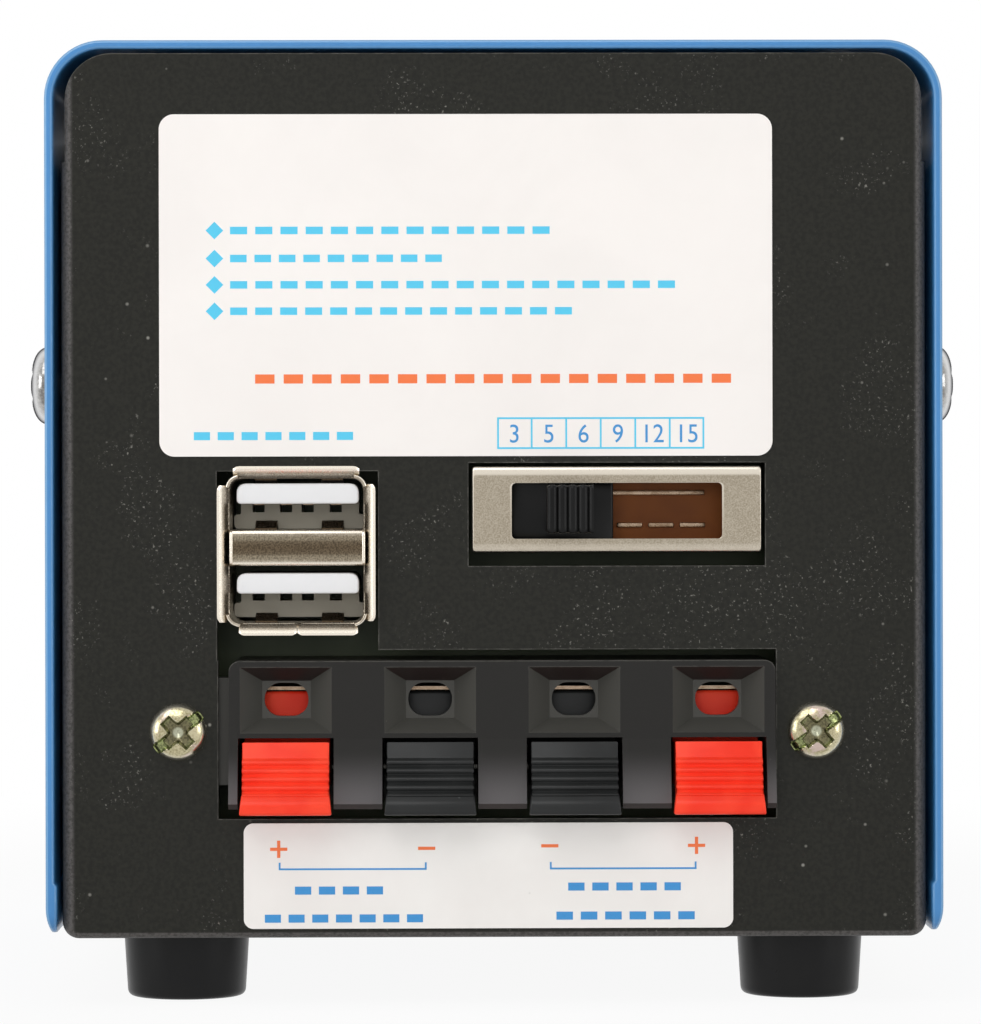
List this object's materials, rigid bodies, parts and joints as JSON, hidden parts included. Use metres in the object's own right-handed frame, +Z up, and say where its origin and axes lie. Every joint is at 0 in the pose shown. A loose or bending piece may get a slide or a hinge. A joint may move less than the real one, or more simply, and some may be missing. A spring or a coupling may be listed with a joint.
{
  "type": "hand crank generator",
  "caption": "Boxed hand crank generator: folded steel case on rubber feet, crank and gear train at the back, spring terminals, double charging port and slide selector at the front.",
  "frame": {"origin": "on the ground under the middle of the whole object's box", "axes": "+Z up, +Y from the output panel to the crank, +X to the right seen from the output panel"},
  "size_m": [0.0878, 0.1756, 0.09],
  "materials": {
    "cover_paint": "semi-gloss blue powder coat",
    "chassis_paint": "black powder coat with a fine sandy grain",
    "rubber": "black rubber",
    "chrome_steel": "bright plated steel",
    "yellow_zinc": "yellow zinc plated steel",
    "bright_zinc": "zinc plated steel",
    "label_upper": "off-white printed film",
    "label_lower": "silvery white printed film",
    "block_plastic": "glossy dark grey moulding",
    "red_lever": "glossy red moulding",
    "black_lever": "glossy black moulding",
    "tinned_brass": "plated brass contacts",
    "spring_steel": "bright steel",
    "nickel_shell": "nickel plated sheet",
    "white_plastic": "white moulding",
    "brown_board": "brown phenolic board",
    "black_plastic": "black moulding",
    "green_board": "green lacquered board",
    "capacitor_sleeve": "dark sleeve",
    "ferrite": "sintered ferrite",
    "aluminium": "extruded aluminium",
    "steel_gear": "cut steel",
    "acetal": "white acetal moulding",
    "bronze": "sintered bronze",
    "grip_plastic": "black moulded handle",
    "plated_can": "zinc plated drawn steel",
    "laminations": "stacked steel laminations",
    "copper": "copper"
  },
  "bodies": {
    "case": {"chassis": "chassis_paint", "cover": "cover_paint", "foot_front_left": "rubber", "foot_front_right": "rubber", "foot_rear_left": "rubber", "foot_rear_right": "rubber", "foot_screws": "bright_zinc", "foot_nuts": "bright_zinc", "cover_screws": "chrome_steel", "cover_nuts": "bright_zinc", "label_upper": "label_upper", "label_lower": "label_lower", "terminal_body": "block_plastic", "lever_pin": "spring_steel", "terminal_contacts": "tinned_brass", "terminal_springs": "spring_steel", "usb_shell": "nickel_shell", "usb_insulator": "white_plastic", "usb_contacts": "tinned_brass", "switch_frame": "nickel_shell", "switch_board": "brown_board", "switch_contacts": "tinned_brass", "circuit_board": "green_board", "panel_screws": "yellow_zinc", "board_spacers": "bright_zinc", "board_screws": "bright_zinc", "capacitors": "capacitor_sleeve", "choke": "ferrite", "bridge_rectifier": "black_plastic", "heat_sink": "aluminium", "regulator": "black_plastic", "gear_plate_rear": "bright_zinc", "gear_plate_front": "bright_zinc", "gear_pillars": "bright_zinc", "gearbox_screws": "bright_zinc", "idler_pin": "spring_steel", "crank_bushes": "bronze", "motor_can": "plated_can", "motor_cap": "black_plastic", "motor_bushes": "bronze", "motor_magnets": "ferrite", "motor_screws": "bright_zinc"},
    "crank": {"crank_shaft": "spring_steel", "crank_wheel": "steel_gear", "crank_arm": "bright_zinc", "crank_screw": "bright_zinc", "grip_bolt": "bright_zinc"},
    "handle": {"grip": "grip_plastic"},
    "idler": {"idler_large_gear": "acetal", "idler_small_gear": "steel_gear"},
    "rotor": {"armature": "laminations", "windings": "copper", "commutator": "copper", "motor_shaft": "spring_steel", "motor_pinion": "steel_gear"},
    "selector": {"switch_slider": "black_plastic"},
    "lever_1": {"terminal_lever_1": "red_lever"},
    "lever_2": {"terminal_lever_2": "black_lever"},
    "lever_3": {"terminal_lever_3": "black_lever"},
    "lever_4": {"terminal_lever_4": "red_lever"}
  },
  "joints": [
    {"name": "crank_spin", "type": "hinge", "parent": "case", "child": "crank", "pos_m": [0, 0.03735, 0.0565], "axis": [0, 1, 0], "continuous": true},
    {"name": "grip_spin", "type": "hinge", "parent": "crank", "child": "handle", "pos_m": [0, 0.06485, 0.0115], "axis": [0, 1, 0], "continuous": true},
    {"name": "idler_spin", "type": "hinge", "parent": "case", "child": "idler", "pos_m": [-0.01801, 0.01915, 0.03402], "axis": [0, 1, 0], "continuous": true},
    {"name": "rotor_spin", "type": "hinge", "parent": "case", "child": "rotor", "pos_m": [0.00499, 0.01915, 0.02717], "axis": [0, 1, 0], "continuous": true},
    {"name": "selector_slide", "type": "slide", "parent": "case", "child": "selector", "axis": [1, 0, 0], "range_m": [-0.00295, 0.0118]},
    {"name": "lever_1_press", "type": "hinge", "parent": "case", "child": "lever_1", "pos_m": [-0.0194, -0.07265, 0.0219], "axis": [1, 0, 0], "range_deg": [0, 9], "stiffness_Nm_per_rad": 0.1, "springref_deg": -5.73},
    {"name": "lever_2_press", "type": "hinge", "parent": "case", "child": "lever_2", "pos_m": [-0.006, -0.07265, 0.0219], "axis": [1, 0, 0], "range_deg": [0, 9], "stiffness_Nm_per_rad": 0.1, "springref_deg": -5.73},
    {"name": "lever_3_press", "type": "hinge", "parent": "case", "child": "lever_3", "pos_m": [0.0074, -0.07265, 0.0219], "axis": [1, 0, 0], "range_deg": [0, 9], "stiffness_Nm_per_rad": 0.1, "springref_deg": -5.73},
    {"name": "lever_4_press", "type": "hinge", "parent": "case", "child": "lever_4", "pos_m": [0.0208, -0.07265, 0.0219], "axis": [1, 0, 0], "range_deg": [0, 9], "stiffness_Nm_per_rad": 0.1, "springref_deg": -5.73}
  ],
  "couplings": [
    {"joint": "idler_spin", "follows": "crank_spin", "ratio": -5},
    {"joint": "rotor_spin", "follows": "crank_spin", "ratio": 20}
  ]
}
